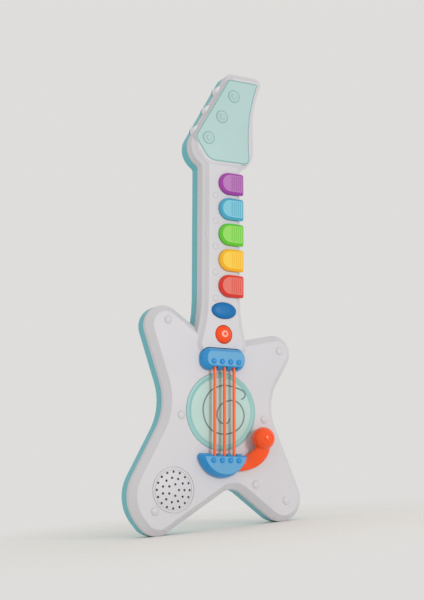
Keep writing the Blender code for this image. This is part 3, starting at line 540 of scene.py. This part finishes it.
def back_shell():
    front = PARTING + GAP
    profile = fillet([(LIP, front, 0), (0.0, front + LIP, 0), (0.0, BACK_EDGE, 3.0),
                      (4.0, BACK, 2.0), (12.0, BACK, 0)])[:-1]
    shell = shaped(lambda inset: outline(BODY_ARCS, inset), profile)
    add(shell, shaped(lambda inset: outline(NECK_ARCS, inset), profile))
    room = [(WALL, front - 1.0), (WALL, BACK_EDGE - 0.6), (4.8, BACK - WALL)]
    cut(shell, shaped(lambda inset: outline(BODY_ARCS, inset, COARSE), room),
        shaped(lambda inset: outline(NECK_ARCS, inset, COARSE), room))
    bump = fillet([(1.0, PEG_BUMP_BACK, 0), (PEG_R, PEG_BUMP_BACK, 2.0), (PEG_R, front, 0)])
    add(shell, joined([turned(x, z, bump[::-1], 48) for x, z in PEG_SPOTS]))
    spots = SCREW_SPOTS + NECK_SCREWS
    wells = [turned(x, z, [(4.8, front), (4.8, BACK - 1.0)], 24) for x, z in spots]
    wells.append(turned(0.0, DOOR_SCREW_Z, [(4.5, 16.0), (4.5, BACK - 1.0)], 24))
    add(shell, joined(wells))
    x0, x1, z0, z1 = BAY
    add(shell, block(x0 - 1.8, x1 + 1.8, 9.0, BACK - 1.0, z0 - 1.8, z1 + 1.8))
    dx0, dx1, dz0, dz1 = DOOR
    add(shell, block(dx0 - 2.6, dx1 + 2.6, 23.8, BACK - 1.0, dz0 - 2.6, dz1 + 2.6))
    cut(shell, joined([turned(x, z, [(1.8, front - 1.0), (1.8, BACK + 1.0)], 16) for x, z in spots]))
    countersink = [(3.5, 20.0), (3.5, BACK - 0.5), (4.4, BACK + 0.5)]
    cut(shell, joined([turned(x, z, countersink, 32) for x, z in spots]))
    gap = 0.4
    cut(shell, prism(rounded((dx0 - gap, dx1 + gap, dz0 - DOOR_SWING, dz1 + gap), 2.0), 25.8, BACK + 1.0))
    cut(shell, block(x0, x1, 10.8, BACK + 1.0, z0, z1))
    cut(shell, turned(0.0, DOOR_SCREW_Z, [(1.5, 18.0), (1.5, BACK + 1.0)], 16))
    show(shell, "vis_back_shell", "shell", [TEAL], ["back_shell"])


# ---------------------------------------------------------------- trim on the front

def sound_disc():
    profile = [(0.6, -0.74), (14.0, -0.72), (28.0, -0.66), (34.0, -0.58), (34.5, -0.45), (34.9, -0.3),
               (35.5, -0.3), (35.9, -0.42), (36.4, -0.62), (37.2, -0.82), (38.4, -DISC_PROUD),
               (39.6, -0.84), (40.4, -0.55), (DISC_R, -0.1), (DISC_R, 0.6)]
    disc = turned(0.0, 0.0, profile, 128)
    # Faces outside DISC_RIM_R take the painted-shade rim colour.
    show(disc, "vis_sound_disc", "shell", [MINT, MINT_SHADED_RIM], ["sound_disc"],
         lambda x, y, z, n: 1 if math.hypot(x, z) > DISC_RIM_R else 0)
    curl = [(23.5, 13.5), (26.5, 15.0), (28.4, 18.0), (27.4, 21.4), (23.6, 23.6), (17.5, 25.4), (8.0, 27.2),
            (0.0, 27.0), (-12.0, 21.5), (-19.5, 11.0), (-21.5, 0.0), (-18.5, -11.5), (-11.0, -20.0),
            (0.0, -23.4), (10.0, -22.6), (19.0, -18.5), (25.0, -11.5), (27.0, -2.5), (23.5, 6.5),
            (16.0, 11.6), (7.0, 11.0), (-1.0, 6.5), (-5.0, -1.0), (-4.0, -8.5), (2.0, -12.6),
            (8.0, -11.2), (9.6, -6.6)]
    show(ribbon(curl, 0.8, -0.74), "vis_disc_swirl", "shell", [SWIRL], angle=80)


def ribbon(route, half, depth):
    """Slightly raised line on a face, along a smooth curve through (x, z) points, its ends tapered."""
    path = spline([(x, depth, z) for x, z in route], 6)
    loops = []
    for i, here in enumerate(path):
        run = (path[min(i + 1, len(path) - 1)] - path[max(i - 1, 0)]).normalized()
        out = Vector((run.z, 0.0, -run.x))
        width = half * min(1.0, 0.3 + 0.2 * i, 0.3 + 0.2 * (len(path) - 1 - i))
        loops.append([tuple(here + out * (width * math.cos(a)) + Vector((0.0, 0.25 * math.sin(a), 0.0)))
                      for a in [math.tau * k / 12 for k in range(12)]])
    return solid(loops)


def head_panel():
    face = NECK_FACE - PANEL_PROUD
    profile = [(1.5, face), (1.3, face + 0.05), (0.3, face + 0.5), (0.0, face + 0.75),
               (0.0, NECK_FACE + PANEL_DEPTH)]
    panel = shaped(lambda inset: outline(PANEL_ARCS, inset), profile)
    moat = [(PANEL_DOME_R + 0.9, face - 0.2), (PANEL_DOME_R + 0.2, face + 0.35)]
    relief = [(0.3, -2.0), (1.2, -1.95), (2.1, -1.65), (2.8, -1.1), (3.2, -0.55), (3.6, -0.35), (4.1, -0.5),
              (4.8, -0.85), (5.5, -0.8), (6.1, -0.45), (6.5, 0.1), (PANEL_DOME_R, 0.5)]
    for x, z in PANEL_DOMES:
        cut(panel, turned(x, z, moat, 48))
        add(panel, turned(x, z, [(radius, face + depth) for radius, depth in relief], 48))
    # Faces set back behind the panel face (the edge slope and the dome grooves and moats) take the
    # painted-shade aqua.
    show(panel, "vis_head_panel", "shell", [AQUA, AQUA_PAINTED_SHADE], ["head_panel"],
         lambda x, y, z, n: 1 if y > face + 0.03 else 0)


def tuning_pegs():
    for i, (x, z) in enumerate(PEG_SPOTS, 1):
        peg = turned(x, z, fillet([(0.5, PEG_FRONT, 0), (PEG_R, PEG_FRONT, 2.4), (PEG_R, PEG_BACK, 0.3),
                                   (0.5, PEG_BACK, 0)]), 56)
        show(peg, f"vis_tuning_peg_{i}", "shell", [PEG], [f"tuning_peg_{i}"])


# ---------------------------------------------------------------- keys and buttons

def chord_keys():
    skirt = NECK_FACE - KEY_TRAVEL - 0.15
    crown = [(3.4, 0.2), (3.1, 0.22), (2.8, 0.36), (2.2, 0.8), (1.6, 1.25), (0.95, 1.75), (0.45, 2.25),
             (0.12, 2.7)]
    levels = [(inset, KEY_TOP + depth) for inset, depth in crown] + [(0.0, skirt)]
    reach = KEY_R - 3.9
    for i, name in enumerate(KEY_NAMES):
        z = key_z(i)
        key = layers([(y, key_top(z, inset)) for inset, y in levels])
        add(key, prism(key_outline(z, KEY_THROAT_RIGHT, 0.02), skirt - 0.2, FLANGE_FRONT + 0.5))
        add(key, prism(rounded((-8.6, 13.5, z - 13.7, z + 13.7), 6.0), FLANGE_FRONT, FLANGE_BACK))
        cut(key, joined([rod(8.4 + 2.5 * k, KEY_TOP + 0.02, z - reach, z + reach, 0.55, 12, 0.3)
                         for k in range(5)]))
        # The top faces take the painted-light colour, and all other faces take the painted-shade colour.
        top, side = KEY_LIT_AND_SHADED_COLOURS[name]
        mats = [surface(name + "_side", side, 0.27, 0.05), surface(name + "_top", top, 0.34, 0.04)]
        show(key, "vis_" + name, name, mats, [name], lambda x, y, zz, n: 1 if y < KEY_TOP + 0.45 else 0)


def key_top(z, inset):
    """Key outline moved inwards, its corners keeping a little radius at every level."""
    corner = max(1.0, KEY_CORNER - inset)
    side, right = KEY_R - inset - corner, KEY_RIGHT - inset - corner
    return outline([(right, z - side, corner, 1), (right, z + side, corner, 1),
                    (KEY_ARC_X, z, KEY_R - inset, 1)], 0.0, math.radians(8))


def heel_buttons():
    crown = [(0.25, 0.02), (0.5, 0.22), (0.72, 0.6), (0.86, 1.15), (0.95, 2.0), (0.99, 2.9), (1.0, 3.8)]
    levels = [(size, MODE_TOP + depth) for size, depth in crown] + [(1.0, FLANGE_FRONT + 0.5)]
    mode = layers([(y, ellipse(BUTTON_X, MODE_Z, MODE_HALF_X * size, MODE_HALF_Z * size))
                   for size, y in levels])
    flange = 1.4
    add(mode, prism(ellipse(BUTTON_X, MODE_Z, MODE_HALF_X + flange, MODE_HALF_Z + flange),
                    FLANGE_FRONT, FLANGE_BACK))
    show(mode, "vis_mode_button", "mode_button", [BLUE_BUTTON], ["mode_button"])
    profile = [(POWER_R * math.sin(a), POWER_TOP + 5.0 * (1 - math.cos(a)))
               for a in [0.08 + 1.3 * k / 12 for k in range(13)]]
    profile += [(POWER_R, POWER_TOP + 5.0), (POWER_R, FLANGE_FRONT + 0.5)]
    power = turned(BUTTON_X, POWER_Z, profile, 64)
    add(power, prism(circle(BUTTON_X, POWER_Z, POWER_R + flange), FLANGE_FRONT, FLANGE_BACK))
    show(power, "vis_power_button", "power_button", [ORANGE_BUTTON], ["power_button"])
    mark_z = POWER_Z + 0.3
    mark = turned(BUTTON_X, mark_z, [(3.2, POWER_TOP + 0.06), (3.6, POWER_TOP + 0.2),
                                     (3.6, POWER_TOP + 0.9)], 40)
    cut(mark, turned(BUTTON_X, mark_z, [(1.9, POWER_TOP - 0.5), (1.9, POWER_TOP + 0.35)], 32))
    show(mark, "vis_power_mark", "power_button", [ORANGE_MARK])


# ---------------------------------------------------------------- strings and bridges

def strings():
    for name, x in zip(("string_left", "string_middle", "string_right"), STRING_X):
        bar = rod(x, STRING_Y, -ROCKER_Z + 1.8, ROCKER_Z - 1.8, STRING_R, 32, 0.3)
        show(bar, "vis_" + name, "strum", [STRING], [name])


def string_slots(z0, z1):
    return joined([block(x - 2.9, x + 2.9, -10.1, 1.0, z0, z1) for x in STRING_X])


def add_bumps(bridge, z):
    """Round bumps in a row, each in a shallow moat."""
    cut(bridge, joined([prism(circle(x, z, BUMP_R + 0.45, 40), BRIDGE_TOP - 1.0, BRIDGE_TOP + 0.35)
                        for x in BUMP_X]))
    add(bridge, joined([dome(x, z, BRIDGE_TOP + 0.3, BUMP_R - 0.1, 1.75) for x in BUMP_X]))


def bridges():
    # Front-facing top faces take the painted-light blue, and every other face takes the painted-shade blue.
    def lit_top_face(x, y, z, n):
        return 0 if n.y < -0.93 and BRIDGE_TOP - 1.2 < y < BRIDGE_TOP + 0.3 else 1

    def upper_outline(inset):
        return rounded(UPPER_BRIDGE, UPPER_BRIDGE_CORNER, inset)

    profile = fillet([(9.0, BRIDGE_TOP, 0), (4.0, BRIDGE_TOP, 1.6), (0.5, BRIDGE_SHOULDER, 5.0),
                      (0.0, BRIDGE_FOOT, 0)])[1:]
    upper = shaped(upper_outline, profile)
    cut(upper, shaped(upper_outline, [(4.5, BRIDGE_TOP + 1.8), (2.5, BRIDGE_SHOULDER), (2.0, 1.0)]))
    low = UPPER_BRIDGE[2]
    cut(upper, string_slots(low - 2.0, low + 5.0))
    add_bumps(upper, UPPER_BUMPS_Z)
    lit_and_shaded_blues = [BRIDGE_LIT_TOP_BLUE, BRIDGE_SHADED_SIDE_BLUE]
    show(upper, "vis_bridge_upper", "shell", lit_and_shaded_blues, ["bridge_upper"], lit_top_face)
    profile = fillet([(9.0, BRIDGE_TOP, 0), (3.6, BRIDGE_TOP, 1.4), (0.5, BRIDGE_SHOULDER, 5.0),
                      (0.0, BRIDGE_FOOT, 0)])
    lower = shaped(half_moon, [p for p in profile if p[0] < LOWER_BRIDGE_CORNER - 0.01])
    cut(lower, shaped(half_moon, [(3.9, BRIDGE_TOP + 2.0), (2.6, BRIDGE_SHOULDER), (2.0, 1.0)]))
    cut(lower, string_slots(LOWER_BRIDGE_TOP_Z - 5.0, LOWER_BRIDGE_TOP_Z + 2.0))
    add_bumps(lower, LOWER_BUMPS_Z)
    inner, outer = 6.0, 34.0
    edge = [(inner, -88)] + [(outer, turn) for turn in (-80, -50, -20, 15, 48)] + [(inner, 48)]
    sector = [(WHAMMY_X + reach * math.cos(math.radians(turn)),
               WHAMMY_Z + reach * math.sin(math.radians(turn))) for reach, turn in edge]
    cut(lower, prism(sector, -8.6, 1.0))
    show(lower, "vis_bridge_lower", "shell", lit_and_shaded_blues, ["bridge_lower"], lit_top_face)


def spline(points, samples):
    """Catmull-Rom curve through points given as tuples, evenly split between them."""
    out = []
    count = len(points)
    for i in range(count - 1):
        p0, p1, p2, p3 = (Vector(points[max(i - 1, 0)]), Vector(points[i]), Vector(points[i + 1]),
                          Vector(points[min(i + 2, count - 1)]))
        for k in range(samples):
            t = k / samples
            out.append(0.5 * ((2 * p1) + (p2 - p0) * t + (2 * p0 - 5 * p1 + 4 * p2 - p3) * t * t
                              + (3 * p1 - p0 - 3 * p2 + p3) * t ** 3))
    out.append(Vector(points[-1]))
    return out


def whammy_bar():
    """Arm through stations of (x, y, z, half width, half depth), a hub at its pivot and a ball at its end."""
    route = [(WHAMMY_X + 4.0, -2.9, WHAMMY_Z - 0.6, 4.8, 1.9), (21.0, -3.2, -55.4, 6.2, 2.3),
             (29.5, -4.2, -52.6, 7.6, 3.0), (36.5, -6.8, -48.4, 8.4, 4.8), (42.0, -9.6, -42.2, 8.2, 5.6),
             (44.2, -11.8, -34.0, 7.8, 6.2), (*WHAMMY_BALL, 7.0, 6.4)]
    stations = spline(route, 7)
    loops = []
    for i, here in enumerate(stations):
        before, after = stations[max(i - 1, 0)], stations[min(i + 1, len(stations) - 1)]
        heading = math.atan2(after[2] - before[2], after[0] - before[0])
        loops.append([(here[0] - here[3] * math.cos(a) * math.sin(heading), here[1] + here[4] * math.sin(a),
                       here[2] + here[3] * math.cos(a) * math.cos(heading))
                      for a in [math.tau * k / 36 for k in range(36)]])
    arm = solid(loops)
    hub_front, hub_back, hub_r = -4.9, -0.9, 6.5
    hub = turned(WHAMMY_X, WHAMMY_Z, fillet([(1.0, hub_front, 0), (hub_r, hub_front, 0.7),
                                             (hub_r, hub_back, 0.7), (1.0, hub_back, 0)]))
    bx, by, bz = WHAMMY_BALL
    polar = [math.pi * (k + 0.3) / 28.6 for k in range(29)]
    ball = turned(bx, bz, [(WHAMMY_BALL_R * math.sin(a), by - WHAMMY_BALL_R * math.cos(a)) for a in polar])
    add(arm, hub, ball)
    cut(arm, turned(WHAMMY_X, WHAMMY_Z, [(3.3, -9.0), (3.3, 3.0)], 24))
    remesh = arm.modifiers.new("skin", "REMESH")
    remesh.mode = "VOXEL"
    remesh.voxel_size = 0.55 * MM
    soft = arm.modifiers.new("soft", "SMOOTH")
    soft.factor = 0.5
    soft.iterations = 9
    graph = bpy.context.evaluated_depsgraph_get()
    arm.data = bpy.data.meshes.new_from_object(arm.evaluated_get(graph))
    arm.modifiers.clear()
    tip = by - WHAMMY_BALL_R
    ring = turned(bx, bz, [(5.0, tip - 1.0), (5.0, tip + 1.55)])
    cut(ring, turned(bx, bz, [(4.2, tip - 2.0), (4.2, tip + 2.0)]))
    cut(arm, ring)
    show(arm, "vis_whammy_bar", "whammy", [WHAMMY], ["whammy_bar"], angle=60)


# ---------------------------------------------------------------- back

def screw(x, z, base, radius, height, shank_from, name, body, node):
    shape = [(radius, base), (radius, base + 0.45 * height), (0.85 * radius, base + 0.8 * height),
             (0.55 * radius, base + height)]
    head = turned(x, z, shape, 32)
    arm, half = 0.55 * radius, 0.34
    cross = [(half, half), (half, arm), (-half, arm), (-half, half), (-arm, half), (-arm, -half),
             (-half, -half), (-half, -arm), (half, -arm), (half, -half), (arm, -half), (arm, half)]
    cut(head, prism([(x + dx, z + dz) for dx, dz in cross], base + height - 0.7, base + height + 1.0))
    add(head, turned(x, z, [(1.05, shank_from), (1.05, base + 0.3)], 16))
    show(head, name, body, [STEEL], [node])


def door_and_screws():
    door = shaped(lambda inset: rounded(DOOR, 1.8, inset), [(0.0, 26.2), (0.0, BACK - 0.35), (0.35, BACK)])
    cut(door, turned(0.0, DOOR_SCREW_Z, [(1.3, 25.0), (1.3, BACK + 1.0)], 20))
    cut(door, turned(0.0, DOOR_SCREW_Z, [(3.1, 27.0), (3.1, BACK + 1.0)], 32))
    grooves = [prism(rounded((-18.0, 18.0, z, z + 1.4), 0.69), BACK - 0.6, BACK + 1.0)
               for z in (7.0, 10.6, 14.2)]
    cut(door, joined(grooves))
    show(door, "vis_battery_door", "door", [TEAL], ["battery_door"])
    screw(0.0, DOOR_SCREW_Z, 27.15, 2.8, 0.8, 22.0, "vis_battery_door_screw", "door", "battery_door_screw")
    for i, (x, z) in enumerate(SCREW_SPOTS + NECK_SCREWS, 1):
        screw(x, z, 20.3, 2.9, 1.6, 6.0, f"vis_shell_screw_{i}", "shell", f"shell_screw_{i}")


def dress_cad_nodes():
    """Give the CAD pieces that the scene keeps as they are their own finishes."""
    finishes = {"rocker_upper": STRING, "rocker_lower": STRING, "rocker_pin_upper": STEEL,
                "rocker_pin_lower": STEEL, "strum_switch": BLACK, "whammy_switch": BLACK,
                "sound_chip": BLACK, "whammy_screw": STEEL,
                "key_pad_strip": RUBBER, "button_pad": RUBBER, "neck_board": BOARD, "main_board": BOARD,
                "speaker_frame": STEEL, "speaker_cone": CONE, "speaker_magnet": MAGNET,
                "battery_cell_1": JACKET, "battery_cell_2": JACKET, "battery_cell_3": JACKET,
                "contact_strip_lower": STEEL, "contact_strip_upper": STEEL}
    for node, finish in finishes.items():
        obj = frame["nodes"][node]
        obj.data.materials.clear()
        obj.data.materials.append(finish)


# ---------------------------------------------------------------- stage, light and camera

def stage():
    """Pale matt floor that fades into the studio backdrop a little way from the toy."""
    mesh = bpy.data.meshes.new("floor")
    half = 3.0
    mesh.from_pydata([(-half, -half, 0), (half, -half, 0), (half, half, 0), (-half, half, 0)],
                     [], [(0, 1, 2, 3)])
    floor = bpy.data.objects.new("floor", mesh)
    bpy.context.scene.collection.objects.link(floor)
    made = bpy.data.materials.new("pale_floor")
    made.use_nodes = True
    tree = made.node_tree
    shader = tree.nodes["Principled BSDF"]
    shader.inputs["Base Color"].default_value = (0.90, 0.88, 0.85, 1.0)
    shader.inputs["Roughness"].default_value = 0.9
    shader.inputs["Specular IOR Level"].default_value = 0.1
    clear = tree.nodes.new("ShaderNodeBsdfTransparent")
    mix = tree.nodes.new("ShaderNodeMixShader")
    place = tree.nodes.new("ShaderNodeTexCoord")
    length = tree.nodes.new("ShaderNodeVectorMath")
    length.operation = "LENGTH"
    fade = tree.nodes.new("ShaderNodeMapRange")
    fade.interpolation_type = "SMOOTHSTEP"
    fade.inputs["From Min"].default_value = 0.10
    fade.inputs["From Max"].default_value = 0.42
    tree.links.new(place.outputs["Object"], length.inputs[0])
    tree.links.new(length.outputs["Value"], fade.inputs["Value"])
    tree.links.new(fade.outputs["Result"], mix.inputs[0])
    tree.links.new(shader.outputs[0], mix.inputs[1])
    tree.links.new(clear.outputs[0], mix.inputs[2])
    tree.links.new(mix.outputs[0], tree.nodes["Material Output"].inputs[0])
    mesh.materials.append(made)

    world = bpy.data.worlds.new("studio")
    bpy.context.scene.world = world
    world.use_nodes = True
    backdrop = world.node_tree.nodes["Background"]
    backdrop.inputs["Color"].default_value = tint((222, 221, 219))
    backdrop.inputs["Strength"].default_value = 1.0


def softbox(name, azimuth, elevation, distance, width, height, power):
    """Area light aimed at the toy's middle; azimuth 0 is in front, positive to the right."""
    target = Vector((0.0, 0.0, 0.22))
    a, e = math.radians(azimuth), math.radians(elevation)
    towards = Vector((math.sin(a) * math.cos(e), -math.cos(a) * math.cos(e), math.sin(e)))
    data = bpy.data.lights.new(name, "AREA")
    data.shape = "RECTANGLE"
    data.size, data.size_y = width, height
    data.energy = power
    lamp = bpy.data.objects.new(name, data)
    lamp.location = target + towards * distance
    lamp.rotation_euler = towards.to_track_quat("Z", "Y").to_euler()
    bpy.context.scene.collection.objects.link(lamp)


def camera():
    place = Vector((-540.1, -1016.7, -90.7)) * MM
    yaw, pitch, roll = math.radians(27.49), math.radians(10.289), math.radians(0.142)
    ahead = Vector((math.sin(yaw) * math.cos(pitch), math.cos(yaw) * math.cos(pitch), math.sin(pitch)))
    right = Vector((math.cos(yaw), -math.sin(yaw), 0.0))
    up = right.cross(ahead)
    tilted_right = math.cos(roll) * right + math.sin(roll) * up
    tilted_up = -math.sin(roll) * right + math.cos(roll) * up
    pose = Matrix((tilted_right, tilted_up, -ahead)).transposed().to_4x4()
    pose.translation = place
    data = bpy.data.cameras.new("camera")
    data.lens = 66.0
    data.sensor_width = 36.0
    data.clip_start, data.clip_end = 0.05, 20.0
    cam = bpy.data.objects.new("camera", data)
    bpy.context.scene.collection.objects.link(cam)
    cam.matrix_world = STANCE @ pose
    bpy.context.scene.camera = cam


bpy.context.scene.view_settings.view_transform = "Standard"
front_shell()
back_shell()
sound_disc()
head_panel()
tuning_pegs()
chord_keys()
heel_buttons()
strings()
bridges()
whammy_bar()
door_and_screws()
dress_cad_nodes()
stage()
softbox("key", 14, 6, 1.9, 0.34, 0.5, 10.8)
softbox("left_strip", -100, 8, 1.4, 0.2, 1.0, 0.7)
camera()

bpy.context.view_layer.update()
